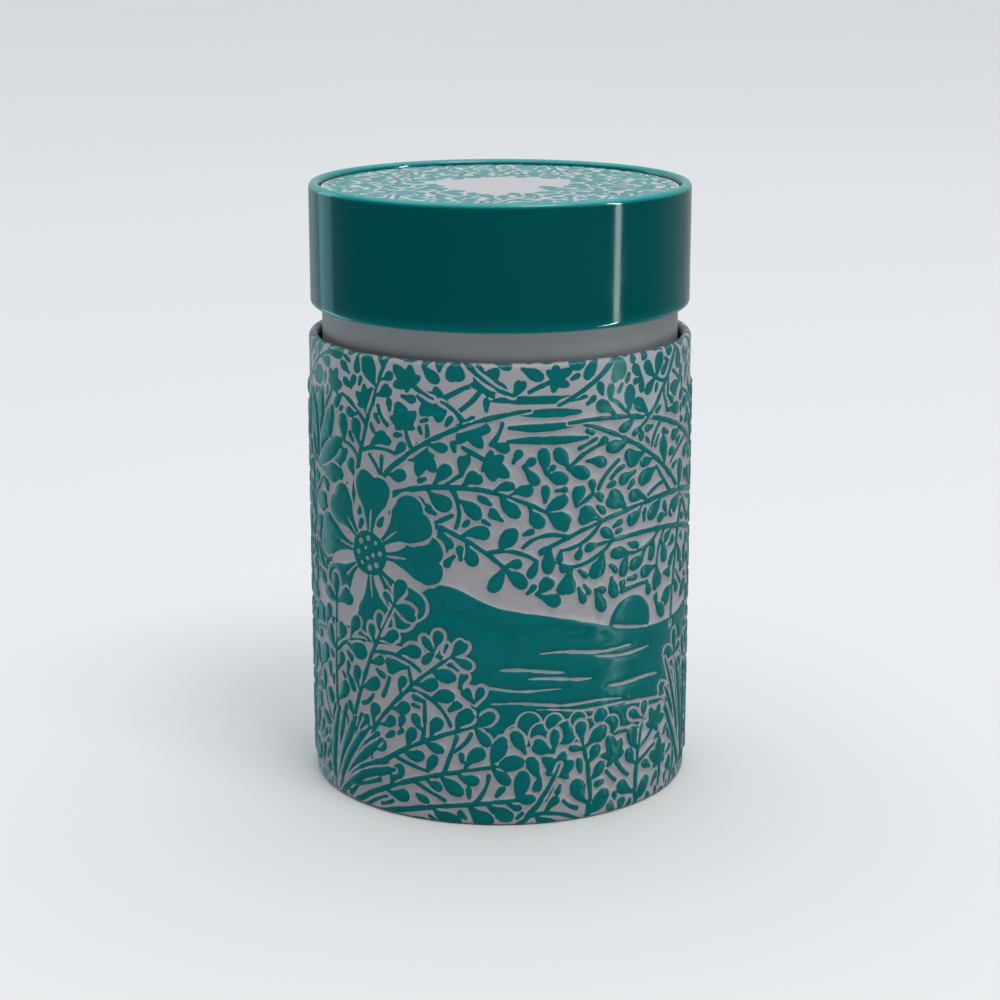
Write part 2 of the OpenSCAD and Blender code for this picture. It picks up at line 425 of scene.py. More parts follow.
# Ivy: angles and lengths of its lobes, and its other sizes as shares of its own or of a lobe's length
IVY_LOBES = ((0, 1.2), (0.9, 1.0), (-0.9, 1.0), (1.9, 0.62), (-1.9, 0.62))
IVY_HEART = 0.26
IVY_STALK = 1.5
IVY_STALK_TURN = 0.8
IVY_STALK_FOOT = 0.3  # half widths in millimetres
IVY_STALK_TIP = 0.25
IVY_LENGTHS = (0.85, 1.15)
IVY_WIDTHS = (0.46, 0.6)
IVY_STRAY = 0.15
IVY_BELLY = 0.42
IVY_FOOT = 0.26


def ivy(rng, centre, size, heading):
    """A lobed leaf like ivy, as one shape that points at a heading."""
    turn = rng.uniform(-IVY_STALK_TURN, IVY_STALK_TURN)
    strokes = [dot(centre, IVY_HEART * size),
               stem(centre, heading + math.pi, IVY_STALK * size, turn, IVY_STALK_FOOT, IVY_STALK_TIP)]
    for aside, share in IVY_LOBES:
        long = size * share * rng.uniform(*IVY_LENGTHS)
        course = heading + aside + rng.uniform(-IVY_STRAY, IVY_STRAY)
        wide = long * rng.uniform(*IVY_WIDTHS)
        turn = rng.uniform(-LEAF_TURN, LEAF_TURN)
        strokes.append(leaf(centre, course, long, wide, turn, IVY_BELLY, IVY_FOOT))
    return strokes


BLADE_LENGTHS = (0.8, 1.1)  # how blades vary, as shares
BLADE_WIDTHS = (0.8, 1.2)
BLADE_TURN = 0.2
BLADE_BELLY = 0.6
BLADE_FOOT = 0.35
OUTER_BLADES = 0.5  # how much shorter the blades are per share of the fan from its middle


def fan(rng, root, heading, opening, count, length, width, turn):
    """Blades that spread from one root, each a shape of its own."""
    for k in rng.permutation(count):
        share = (k + 0.5) / count - 0.5
        long = length * (1 - OUTER_BLADES * abs(share)) * rng.uniform(*BLADE_LENGTHS)
        foot = root + rng.uniform(-1, 1, 2)
        wide = width * rng.uniform(*BLADE_WIDTHS)
        bend = turn + rng.uniform(-BLADE_TURN, BLADE_TURN)
        yield leaf(foot, heading + opening * share, long, wide, bend, BLADE_BELLY, BLADE_FOOT)


# Flower: sizes as shares of its radius or of a petal's length
PETAL_STRAY = 0.16  # how far a petal strays, as a share of the angle between petals
PETAL_START = 0.2
PETAL_LENGTHS = (0.7, 0.86)
PETAL_WIDTHS = (0.34, 0.4)
PETAL_LOBES = (0.93, 1.0)  # how the lengths of its two lobes vary
PETAL_NOTCH = 0.13  # angle between them and its middle
PETAL_CURVE = 0.9
PETAL_BELLY = 0.82
PETAL_FOOT = 0.35
VEIN_LENGTH = 0.4
VEIN_WIDTH = 0.55  # in millimetres
VEIN_BELLY = 0.4
VEIN_FOOT = 0.1
HEART = 0.25  # radius of the flower's middle
SEED_RINGS = ((0.07, 3), (0.17, 8))  # (radius, seeds)
SEED_STRAY = 0.15
SEED = 0.034


def petal(rng, centre, radius, heading):
    """The two lobes of a petal, and the bare vein between them."""
    foot = centre + PETAL_START * radius * np.array([math.cos(heading), math.sin(heading)])
    long = radius * rng.uniform(*PETAL_LENGTHS)
    wide = long * rng.uniform(*PETAL_WIDTHS)
    lobes = [leaf(foot, heading + aside, long * rng.uniform(*PETAL_LOBES), wide, PETAL_CURVE * aside,
                  PETAL_BELLY, PETAL_FOOT) for aside in (-PETAL_NOTCH, PETAL_NOTCH)]
    return lobes, leaf(foot, heading, VEIN_LENGTH * long, VEIN_WIDTH, 0, VEIN_BELLY, VEIN_FOOT)


def flower(sheet, rng, centre, radius, petals):
    """A wide open flower: broad petals with bare veins, and bare seeds in its middle."""
    for k in rng.permutation(petals):
        heading = FULL * (k + rng.uniform(-PETAL_STRAY, PETAL_STRAY)) / petals
        lobes, vein = petal(rng, centre, radius, heading)
        sheet.lay(lobes, PETAL_GAP, [vein])
    seeds = []
    for ring, count in SEED_RINGS:
        for angle in FULL * (np.arange(count) + rng.uniform(-SEED_STRAY, SEED_STRAY, count)) / count:
            away = np.array([math.cos(angle), math.sin(angle)])
            seeds.append(dot(centre + ring * radius * away, SEED * radius))
    sheet.lay([dot(centre, HEART * radius)], FINE_GAP, seeds)


SPRIG_ROOM = 0.16  # room that a loose sprig needs and its length, as shares of its leaves'
SPRIG_LENGTH = 1.7
SPRIG_SWAY = 1.4  # how far the sprigs' headings sway across a sheet, and how fast each way
SWAY_ACROSS = 0.09
SWAY_UP = 0.06
SPRIG_STRAY = 0.5


def fill(sheet, rng, inside, tries, size):
    """Small sprigs wherever there is room, where inside says so."""
    extent = np.array([sheet.cols - 1, sheet.rows - 1]) * CELL
    spots = sheet.low + rng.uniform(0, 1, (tries, 2)) * extent
    for spot in spots[inside(spots)]:
        if sheet.at(spot[None])[0] < -(SPRIG_ROOM * size + OWN_GAP):
            sway = SPRIG_SWAY * math.sin(SWAY_ACROSS * spot[0] + SWAY_UP * spot[1])
            heading = math.pi / 2 + sway + rng.uniform(-SPRIG_STRAY, SPRIG_STRAY)
            for stalk in sprig(sheet, rng, inside, spot, heading, SPRIG_LENGTH * size, size):
                leaves_along(sheet, rng, *stalk)
            end_leaves(sheet, rng, spot, heading, size)


def wobble(sheet, rng):
    """Waves that make cut edges uneven, as a knife does."""
    x, y = sheet.places()
    total = np.zeros(sheet.depth.shape)
    lengths = rng.uniform(*WAVE_LENGTHS, WAVES)
    courses = rng.uniform(0, FULL, WAVES)
    phases = rng.uniform(0, FULL, WAVES)
    for length, course, phase in zip(lengths, courses, phases):
        total += np.sin((x * math.cos(course) + y * math.sin(course)) * FULL / length + phase)
    return total * CUT_SIZE / math.sqrt(WAVES)


# ---- Print: the body's landscape -----------------------------------------------------------------
# It is drawn twice round the tin, on two panels whose middles face front and back. Places are measured from a
# panel's middle and from the body's foot.
PANEL = AROUND / 2
PANELS = (-PANEL, 0.0, PANEL)  # the panels' middles, with the back one at both ends of the sheet
HALF = PANEL / 2
BODY_SEED = 7
SCENERY_SEED = 5

# Edges of the landscape's zones: (place across the panel, height)
LEAVES_DOWN_TO = ((-HALF, 42), (-44, 43), (-38, 50), (-22, 58), (-14, 54), (-8, 52), (-1, 54), (2, 48),
                  (6, 45), (14, 46), (22, 44.5), (31, 44), (35, 38), (42, 40), (50, 41), (HALF, 42))
LEAVES_UP_TO = ((-HALF, 36), (-44, 36), (-32, 36), (-19, 37), (-12, 36), (-7, 32), (-5, 25), (-1, 20),
                (6, 16), (28, 15), (36, 19), (44, 26), (52, 34), (HALF, 36))
SEA_LEVEL = 35.0  # height of the water's far edge
# Hills: (across, height over the water, half width)
HILLS = ((-12, 8.0, 9), (3, 7.0, 20), (-55, 4.5, 14))
SUN = (26.8, 38.0, 5.0)  # across, up and radius
OVERHANG = 2.2  # how far the near leaves reach over the water
EDGE_BLEND = 2.4  # width over which a zone's corners are rounded
SHORE = 16.5  # height of the water's near edge

STREAKS = 12  # bare streaks on the water
STREAK_LEFT = (-12, 26)  # where they start, across
STREAK_LENGTH = (9, 30)
STREAK_PLACES = (0.2, 0.8)  # where in its share of the water each one lies
STREAK_WIDTH = (0.5, 1.1)
STREAK_WAVE = 0.25
STREAK_FALL = 0.06  # how far they fall, as a share of their length
FURROWS = 14  # soft furrows on the hills
FURROW_LEFT = (-20, 14)
FURROW_LENGTH = (8, 15)
FURROW_FALL = 0.18
FURROW_BELOW = (1.5, 7.0)  # how far they lie below the hills' top
FURROW_WIDTH = 1.4
FURROW_WAVE = 0.5
FURROW_DEPTH = 0.3
CLOUDS = 4  # bars of cloud
CLOUD_TOP = 82.4
CLOUD_STEP = 2.5
CLOUD_LEFT = (-2, 5)
CLOUD_LENGTH = (10, 19)
CLOUD_WIDTH = 1.2
CLOUD_WAVE = 0.1
BAR_POINTS = 16  # points along streaks, furrows and clouds
BAR_TURN = 0.4  # how fast the waves along them turn, per millimetre
BAR_END = 0.05  # how soon they widen, and how fully
BAR_FULLNESS = 0.6

# Branches: (across, up, heading in degrees, length, turn in degrees, leaf length)
UPPER_BRANCHES = ((-32, 55, 80, 38, -14, 4.9), (-29, 59, 58, 42, -52, 4.3), (-24, 62, 30, 34, -62, 4.4),
                  (-21, 60, 0, 24, -44, 4.3), (-46, 42, 92, 50, 8, 5.8), (55, 44, 118, 54, 44, 4.6),
                  (54, 58, 162, 46, 44, 4.5), (54, 50, 158, 36, 30, 4.3), (54, 66, 142, 44, 44, 4.5),
                  (42, 92, -112, 22, -34, 4.3), (25, 92, -128, 18, -30, 4.3), (44, 58, -108, 24, 16, 3.8),
                  (-8, 92, -60, 14, 40, 4.2))
# Ivy leaves on the upper branches: (across, up, size, heading in degrees)
IVY = ((-11, 82, 4.6, 215), (-17, 85, 3.6, 140), (-3, 85, 4.2, 60), (-6, 77.5, 4.4, 300), (-18, 77, 3.6, 100),
       (-14, 72, 3.6, 250), (-27, 80, 3.6, 100), (-37, 82, 3.6, 60), (-2, 71, 3.6, 330), (10, 86, 3.4, 20))
# Large leaves that spread from a point among the upper branches, as for the fans below
PALMS = ((-43, 66, 78, 190, 9, 15, 3.8, 8), (-40, 46, 120, 90, 5, 13, 3.8, 14))
LOWER_BRANCHES = ((-36, 2, 96, 38, -10, 4.8), (-35, 3, 80, 42, -20, 4.4), (-34, 3, 66, 40, -30, 4.0),
                  (-33, 2, 50, 34, -34, 4.2), (-31, 1, 34, 32, -26, 5.2), (-26, 0, 18, 30, -14, 5.8),
                  (-51, 0, 88, 38, 6, 5.6), (3, 0, 44, 15, 24, 6.0), (17, 0, 80, 15, 26, 5.2),
                  (29, 0, 98, 18, -26, 4.8), (41, 0, 78, 28, 20, 4.6), (55, 0, 94, 36, -4, 4.8))
SHOOTS = 1500  # tries at a further twig among the leaves
# Fans of blades: (across, up, heading in degrees, opening in degrees, blades, length, width, turn in degrees)
FANS = ((-37, 0, 76, 72, 14, 24, 1.9, -26), (47, 1, 96, 40, 9, 27, 1.5, 12))
BUSHES = 9  # round bushes in two rows on the shore
BUSH_LEFT = 3.0
BUSH_STEP = 2.4
BUSH_ROWS = (18.6, 20.8)
BUSH_SIZE = (1.4, 2.3)
LOWER_IVY = ((11, 11, 4.0, 70), (23, 12, 3.8, 110), (34, 16, 3.8, 60), (36, 8, 3.6, 100))
FLOWER = (-26.6, 51.5, 16.5, 8)  # across, up, radius and petals

# Sprigs that fill the room left, from large to small: (tries, leaf length)
SPRIGS = ((5000, 4.0), (8000, 3.3), (8000, 2.5))
SEAM_HALF = 1.1  # half the plain strip left at the side seam


def level(edge, across):
    """The height of a zone's edge at places across the body."""
    places, heights = zip(*edge)
    asides = EDGE_BLEND * np.linspace(-0.5, 0.5, 5)
    spots = [(across + aside + HALF) % PANEL - HALF for aside in asides]
    return np.mean([np.interp(spot, places, heights) for spot in spots], axis=0)


def skyline(across):
    """The height of the hills at places across the body."""
    height = np.full(np.shape(across), SEA_LEVEL)
    for middle, rise, half in HILLS:
        apart = (across - middle + HALF) % PANEL - HALF
        height += rise * np.exp(-(apart / half) ** 2)
    return height


def bar(left, height, length, fall, wave, width):
    """A stroke that runs to the right and falls a little, with waves along it and fine ends."""
    path = np.linspace((left, height), (left + length, height - fall * length), BAR_POINTS)
    path[:, 1] += wave * np.sin(path[:, 0] * BAR_TURN + height)
    swell = np.sin(np.linspace(BAR_END, math.pi - BAR_END, len(path)))
    return path, width / 2 * swell ** BAR_FULLNESS


def make_streaks(rng):
    """Bare streaks on the water, from the shore to its far edge."""
    streaks = []
    for k in range(STREAKS):
        height = SHORE + (SEA_LEVEL - SHORE) * (k + rng.uniform(*STREAK_PLACES)) / STREAKS
        left = rng.uniform(*STREAK_LEFT)
        length = rng.uniform(*STREAK_LENGTH)
        streaks.append(bar(left, height, length, STREAK_FALL, STREAK_WAVE, rng.uniform(*STREAK_WIDTH)))
    return streaks


def make_furrows(rng):
    """Soft furrows on the hills."""
    furrows = []
    for _ in range(FURROWS):
        left = rng.uniform(*FURROW_LEFT)
        height = skyline(left) - rng.uniform(*FURROW_BELOW)
        length = rng.uniform(*FURROW_LENGTH)
        furrows.append(bar(left, height, length, FURROW_FALL, FURROW_WAVE, FURROW_WIDTH))
    return furrows


def draw_background(sheet, rng):
    """Sun, hills and water, then bare ground for the leaves in front."""
    x, y = sheet.places()
    streaks = make_streaks(rng)
    furrows = make_furrows(rng)
    for middle in PANELS:
        sheet.lay([dot((middle + SUN[0], SUN[1]), SUN[2])])
    sheet.lay_area(np.minimum(skyline(x) - y, y - SHORE))
    for middle in PANELS:
        for path, radii in streaks:
            sheet.cut([(path + (middle, 0), radii)])
        for path, radii in furrows:
            sheet.press([(path + (middle, 0), radii)], FURROW_DEPTH)
    sheet.clear(level(LEAVES_UP_TO, x) - OVERHANG - y)


def draw_middle(sheet, rng):
    """Bushes on the shore and bars of cloud."""
    bushes = []
    for k in range(BUSHES):
        bushes.append(dot((BUSH_LEFT + BUSH_STEP * k, BUSH_ROWS[k % 2]), rng.uniform(*BUSH_SIZE)))
    clouds = []
    for k in range(CLOUDS):
        left = rng.uniform(*CLOUD_LEFT)
        height = CLOUD_TOP - CLOUD_STEP * k
        clouds.append(bar(left, height, rng.uniform(*CLOUD_LENGTH), 0, CLOUD_WAVE, CLOUD_WIDTH))
    for middle in PANELS:
        for path, radii in bushes:
            sheet.lay([(path + (middle, 0), radii)], BUSH_GAP)
        for path, radii in clouds:
            sheet.lay([(path + (middle, 0), radii)])


def among_upper_leaves(spots):
    """Which spots lie in the upper zone of leaves."""
    return spots[:, 1] > level(LEAVES_DOWN_TO, spots[:, 0])


def among_lower_leaves(spots):
    """Which spots lie in the lower zone of leaves."""
    return spots[:, 1] < level(LEAVES_UP_TO, spots[:, 0])


def draw_branches(sheet, rng, inside, rows):
    """Branches over what is there, with twigs and leaves."""
    stalks = []
    for across, up, heading, length, turn, size in rows:
        for middle in PANELS:
            stalk = stem(np.array([middle + across, up]), math.radians(heading), length, math.radians(turn))
            sheet.lay([stalk])
            stalks.append((stalk[0], length, size))
    grow(sheet, rng, inside, stalks, SHOOTS)


def draw_ivy(sheet, rng, rows):
    """Lobed leaves over what is there."""
    for middle in PANELS:
        for across, up, size, heading in rows:
            sheet.lay(ivy(rng, np.array([middle + across, up]), size, math.radians(heading)))


def draw_fans(sheet, rng, rows):
    """Fans of blades over what is there."""
    for middle in PANELS:
        for across, up, heading, opening, count, length, width, turn in rows:
            root = np.array([middle + across, up])
            angles = math.radians(heading), math.radians(opening)
            for blade in fan(rng, root, *angles, count, length, width, math.radians(turn)):
                sheet.lay([blade], FINE_GAP)


def blank_body():
    """A sheet that covers the body, from under its foot to inside its rolled edge."""
    return Print((-AROUND / 2, 0), (AROUND / 2, PRINT_END))


def draw_front(rng):
    """Branches, lobed leaves and blades on the near ground, on a sheet of their own."""
    front = blank_body()
    draw_ivy(front, rng, LOWER_IVY)
    draw_branches(front, rng, among_lower_leaves, LOWER_BRANCHES)
    draw_fans(front, rng, FANS)
    for tries, size in SPRIGS:
        fill(front, rng, among_lower_leaves, tries, size)
    return front


def body_print():
    """The body's landscape, with the leaves in front laid over the rest."""
    sheet = blank_body()
    rng = np.random.default_rng(BODY_SEED)
    x, y = sheet.places()
    scenery = np.random.default_rng(SCENERY_SEED)
    draw_background(sheet, scenery)
    draw_middle(sheet, scenery)
    draw_ivy(sheet, rng, IVY)
    draw_fans(sheet, rng, PALMS)
    draw_branches(sheet, rng, among_upper_leaves, UPPER_BRANCHES)
    for middle in PANELS:
        flower(sheet, rng, np.array([middle + FLOWER[0], FLOWER[1]]), *FLOWER[2:])
    for tries, size in SPRIGS:
        fill(sheet, rng, among_upper_leaves, tries, size)
    sheet.lay_area(draw_front(rng).depth)
    sheet.swell()
    sheet.depth += wobble(sheet, rng)
    sheet.furrows *= smooth_step(sheet.depth / TOP_DEPTH - 1)
    sheet.depth = np.minimum(sheet.depth, AROUND / 2 - SEAM_HALF - np.abs(x))
    sheet.depth = np.minimum(sheet.depth, np.minimum(y, PRINT_END - y) - EDGE_GAP)
    return sheet


# ---- Print: the lid's wreath ---------------------------------------------------------------------
WREATH = 20  # branches round the lid
WREATH_LEAF = 4.0
WREATH_OUT = 1.0  # how far outside the disc they start
WREATH_LENGTH = (12, 21)
WREATH_PLACE = 0.2  # how far their places, headings and turns vary
WREATH_ASIDE = 0.6
WREATH_TURN = 1.1
WREATH_FOOT = 0.45
BARE_MIDDLE = 15.0  # radius of the bare middle, and how far its edge waves
BARE_WAVE = 2.5
BARE_WAVES = 3
LID_SEED = 11


def in_wreath(spots):
    """Which spots lie between the bare middle and just past the disc's edge."""
    reach = np.hypot(*spots.T)
    wave = BARE_WAVE * np.sin(BARE_WAVES * np.arctan2(spots[:, 1], spots[:, 0]))
    return (reach > BARE_MIDDLE + wave) & (reach < PANEL_R + 2 * WREATH_OUT)


def lid_print():
    """A wreath of leaves round a bare middle."""
    sheet = Print((-PANEL_R, -PANEL_R), (PANEL_R, PANEL_R))
    rng = np.random.default_rng(LID_SEED)
    x, y = sheet.places()
    stalks = []
    for k in range(WREATH):
        angle = FULL * (k + rng.uniform(-WREATH_PLACE, WREATH_PLACE)) / WREATH
        start = (PANEL_R + WREATH_OUT) * np.array([math.cos(angle), math.sin(angle)])
        length = rng.uniform(*WREATH_LENGTH)
        heading = angle + math.pi + rng.uniform(-WREATH_ASIDE, WREATH_ASIDE)
        path, radii = stem(start, heading, length, rng.uniform(-WREATH_TURN, WREATH_TURN), WREATH_FOOT)
        sheet.lay([(path, radii)])
        stalks.append((path, length, WREATH_LEAF))
    grow(sheet, rng, in_wreath, stalks, SHOOTS // 2)
    for tries, size in SPRIGS:
        fill(sheet, rng, in_wreath, tries // 2, size)
    sheet.swell()
    sheet.depth += wobble(sheet, rng)
    sheet.depth = np.minimum(sheet.depth, PANEL_R - EDGE_GAP - np.hypot(x, y))
    return sheet


# ---- Meshes from a print -------------------------------------------------------------------------
FOOT_DEPTH = -0.22  # the raised shapes start this far outside the printed edge
TOP_DEPTH = 0.42  # and reach almost their full height this far inside it
LEVELS = (FOOT_DEPTH, 0.0, TOP_DEPTH)
LOOSEST = (0.05, 0.018, 0.06)  # how far a thinned outline may stray, at each level
LONGEST = 1.6  # longest step along a thinned outline
FEWEST = 5  # points round the smallest outline
SHORTEST_LOOP = 12  # grid places round an outline that is worth keeping
BEND_SPAN = 3  # how many places apart an outline's bend is taken
TINY = 1e-9
JOIN_WITHIN = 1e-5
SPREAD = 1.35  # spacing of the points between outlines
ROW_SHARE = 0.87  # of the spacing, between their rows
CLEAR_OF_LINE = 0.16  # how much deeper or shallower than every outline they are
RELIEF_END = 0.75  # depth inside its edge where a motif has its full height
RELIEF_POWER = 2.4


# Corners of a cell in order, and the pairs of its sides that an outline joins, by which corners are inside.
# Sides: 0 below, 1 right, 2 above, 3 left.
JOINS = {1: ((3, 0),), 2: ((0, 1),), 3: ((3, 1),), 4: ((1, 2),), 5: ((3, 0), (1, 2)), 6: ((0, 2),),
         7: ((3, 2),), 8: ((2, 3),), 9: ((0, 2),), 10: ((0, 1), (2, 3)), 11: ((1, 2),), 12: ((1, 3),),
         13: ((0, 1),), 14: ((3, 0),)}


def outlines(values, height):
    """Closed outlines where a grid passes a height, as lists of grid places."""
    rows, cols = values.shape
    inside = values > height
    code = inside[:-1, :-1] + 2 * inside[:-1, 1:] + 4 * inside[1:, 1:] + 8 * inside[1:, :-1]
    size = rows * cols
    pairs = []
    for case, joins in JOINS.items():
        row, col = np.nonzero(code == case)
        place = row * cols + col
        sides = (place, size + place + 1, place + cols, size + place)
        pairs.extend(np.column_stack([sides[a], sides[b]]) for a, b in joins)
    pairs = np.concatenate(pairs)
    links = np.concatenate([pairs, pairs[:, ::-1]])
    links = links[np.argsort(links[:, 0], kind="stable")]
    sides = links[::2, 0]
    beside = np.searchsorted(sides, links[:, 1]).reshape(-1, 2).tolist()
    row, col = np.divmod(sides % size, cols)
    upright = sides >= size
    flat = values.ravel()
    here = flat[sides % size]
    there = flat[sides % size + np.where(upright, cols, 1)]
    share = (height - here) / (there - here)
    points = np.column_stack([col + np.where(upright, 0, share), row + np.where(upright, share, 0)])
    seen = bytearray(len(beside))
    for start in range(len(beside)):
        if seen[start]:
            continue
        loop = [start]
        seen[start] = 1
        last, now = start, beside[start][0]
        while now != start:
            seen[now] = 1
            loop.append(now)
            a, b = beside[now]
            last, now = now, b if a == last else a
        yield points[loop]


def thinned(loop, loosest):
    """Fewer points round a closed outline: close together where it bends, far apart where it is straight."""
    ahead = np.roll(loop, -BEND_SPAN, axis=0) - loop
    behind = loop - np.roll(loop, BEND_SPAN, axis=0)
    bend = np.abs(ahead[:, 0] * behind[:, 1] - ahead[:, 1] * behind[:, 0])
    spans = np.hypot(*ahead.T) * np.hypot(*behind.T)
    step = np.hypot(*(np.roll(loop, -1, axis=0) - loop).T)
    curve = np.arcsin(np.clip(bend / np.maximum(spans, TINY), 0, 1)) / np.maximum(np.sqrt(spans), TINY)
    need = step * np.maximum(1 / LONGEST, np.sqrt(curve / (8 * loosest)))
    total = np.cumsum(need)
    count = max(int(round(total[-1])), FEWEST)
    marks = (np.arange(count) + 0.5) * total[-1] / count
    return loop[np.unique(np.searchsorted(total, marks))]


def triangles(sheet, border, extra):
    """Points and triangles of a sheet, split along the outlines of its print. Border points come in order."""
    points = [border]
    edges = [ring_edges(0, len(border))]
    count = len(border)
    for height, loosest in zip(LEVELS, LOOSEST):
        for loop in outlines(sheet.depth, height):
            if len(loop) < SHORTEST_LOOP:
                continue
            loop = thinned(sheet.low + loop * CELL, loosest)
            points.append(loop)
            edges.append(ring_edges(count, len(loop)))
            count += len(loop)
    depth = sheet.at(extra)
    free = np.min([np.abs(depth - height) for height in LEVELS], axis=0) > CLEAR_OF_LINE
    points.append(extra[free])
    points = np.concatenate(points)
    found = delaunay_2d_cdt(points.tolist(), np.concatenate(edges).tolist(), [], 0, JOIN_WITHIN, False)
    points = np.array([tuple(p) for p in found[0]])
    return points, np.array(found[2])


def ring_edges(first, count):
    """Edges round a ring of points, by their numbers."""
    steps = np.arange(count)
    return np.column_stack([first + steps, first + (steps + 1) % count])


def relief(depth):
    """How much of its full height a motif has at a depth inside its edge."""
    share = np.clip((depth - FOOT_DEPTH) / (RELIEF_END - FOOT_DEPTH), 0, 1)
    return 1 - (1 - share) ** RELIEF_POWER


def slopes(heights, points, low):
    """The rise of a grid of heights along each axis, at points."""
    up, across = np.gradient(softened(heights), CELL)
    return between(across, points, low), between(up, points, low)


# ---- Pieces --------------------------------------------------------------------------------------
def make_piece(name, points, faces, body, materials, kinds=None, normals=None):
    """A smooth mesh piece from points in millimetres. Normals of zero are left to the mesh."""
    mesh = bpy.data.meshes.new(name)
    mesh.from_pydata((points * MM).tolist(), [], faces)
    for material in materials:
        mesh.materials.append(material)
    if kinds is not None:
        mesh.polygons.foreach_set("material_index", kinds)
    mesh.polygons.foreach_set("use_smooth", np.ones(len(mesh.polygons), bool))
    if normals is not None:
        mesh.normals_split_custom_set_from_vertices(normals.tolist())
    mesh.update()
    piece = bpy.data.objects.new(name, mesh)
    bpy.context.scene.collection.objects.link(piece)
    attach(piece, body)
    return piece


def arc(centre, radius, start, end, steps):
    """Points on an arc of an outline."""
    angle = np.linspace(start, end, steps + 1)
    return np.column_stack([centre[0] + radius * np.cos(angle), centre[1] + radius * np.sin(angle)])


def turned(outline, first=0):
    """Points and quads of an outline of (radius, height) turned round the tin's axis. It isn't closed."""
    angle = FULL * np.arange(RING) / RING
    rings = [np.column_stack([r * np.sin(angle), -r * np.cos(angle), np.full(RING, z)]) for r, z in outline]
    return np.concatenate(rings), ring_quads(len(outline), first)


def ring_quads(rings, first=0):
    """Quads between rings of points, by their numbers."""
    faces = []
    for k in range(rings - 1):
        for j in range(RING):
            a = first + k * RING + j
            b = first + k * RING + (j + 1) % RING
            faces.append((a, b, b + RING, a + RING))
    return faces


WELD_WITHIN = 0.001  # millimetres within which points are one


def welded(points, faces, kinds, normals):
    """Joins points that coincide, and drops the faces that this closes up."""
    keys = np.round(points / WELD_WITHIN).astype(np.int64)
    _, first, place = np.unique(keys, axis=0, return_index=True, return_inverse=True)
    place = place.ravel()
    kept = []
    kept_kinds = []
    for face, kind in zip(faces, kinds):
        corners = list(dict.fromkeys(place[list(face)].tolist()))
        if len(corners) > 2:
            kept.append(corners)
            kept_kinds.append(kind)
    return points[first], kept, kept_kinds, normals[first]


def sheet_outline(line, thickness):
    """The outline of a sheet whose middle line is given: along its right side, and back along its left."""
    steps = np.diff(line, axis=0)
    steps /= np.hypot(*steps.T)[:, None]
    before = np.vstack([steps[:1], steps])
    after = np.vstack([steps, steps[-1:]])
    side = before + after
    side /= (1 + np.sum(before * after, axis=1))[:, None]
    offset = np.column_stack([side[:, 1], -side[:, 0]]) * thickness / 2
    return np.vstack([line + offset, (line - offset)[::-1], line[:1] + offset[:1]])


def body_profile(place):
    """Radius, height and outward direction along the body's outside, from its foot to inside its curl."""
    angle = np.clip(place / HEM_R - math.pi / 2, None, 0) + np.clip((place - WALL_END) / CURL_R, 0, None)
    low = HEM_R + HEM_R * np.sin(np.minimum(angle, 0))
    radius = np.where(place < WALL_END, WALL_R - HEM_R + HEM_R * np.cos(angle),
                      WALL_R - CURL_R + CURL_R * np.cos(angle))
    height = low + np.clip(place, FOOT_ARC, WALL_END) - FOOT_ARC + CURL_R * np.sin(np.maximum(angle, 0))
    return radius, height, np.cos(angle), np.sin(angle)


SEAM_HEIGHT = 0.14  # height of the side seam's lap
SEAM_LAP = 0.75  # half its width
SEAM_EDGE = 0.25  # width of the slope at its sides
SEAM_END = 2.0  # length of the slope at its top
SEAM_STEP = 1.2  # spacing of the points along it
SEAM_INSETS = (0.35, SEAM_LAP - SEAM_EDGE, SEAM_LAP - SEAM_EDGE / 2, SEAM_LAP)
SEAM_ROOM = 0.2  # how far the points between outlines stay from those along the seam
FOOT_ROWS = 5  # rows of points along the sides of the sheet
WALL_ROWS = 60
CURL_ROWS = 10
BEND_STEPS = 6  # steps round a bend and round a curl
CURL_STEPS = 16
# Spacing of the points between outlines, across and up
FOOT_SPACING = (1.0, 0.3)
CURL_SPACING = (1.0, 0.28)
FURROW_SPACING = (0.55, 0.5)
FURROW_LEVELS = (38, 58)  # levels between which they are looked for, and the least depth that counts
FURROW_LEAST = 0.01
SHEET_SIDE = 2.0  # how far the points stay from the sheet's sides, its foot and its top
SHEET_FOOT = 0.05
SHEET_TOP = 0.1


def body_height(depth, furrow, x, y):
    """How far the body's surface stands out at places on its unrolled sheet."""
    up = y - FOOT_ARC + HEM_R
    band = smooth_step((up - BAND_LOW) / BAND_SLOPE) * smooth_step((BAND_HIGH - up) / BAND_SLOPE)
    across = smooth_step((SEAM_LAP - (AROUND / 2 - np.abs(x))) / SEAM_EDGE)
    seam = across * smooth_step(y / FOOT_ARC) * smooth_step((WALL_END - y) / SEAM_END)
    return (EMBOSS * relief(depth) - furrow) * band + SEAM_HEIGHT * seam


def body_border():
    """The edge of the body's unrolled sheet, in order."""
    half = AROUND / 2
    across = np.linspace(-half, half, RING + 1)
    rows = np.concatenate([np.linspace(0, FOOT_ARC, FOOT_ROWS),
                           np.linspace(FOOT_ARC, WALL_END, WALL_ROWS)[1:],
                           np.linspace(WALL_END, PRINT_END, CURL_ROWS)[1:]])
    return np.concatenate([np.column_stack([across, np.zeros(RING + 1)]),
                           np.column_stack([np.full(len(rows), half), rows])[1:],
                           np.column_stack([across[::-1], np.full(RING + 1, PRINT_END)])[1:],
                           np.column_stack([np.full(len(rows), -half), rows[::-1]])[1:-1]])


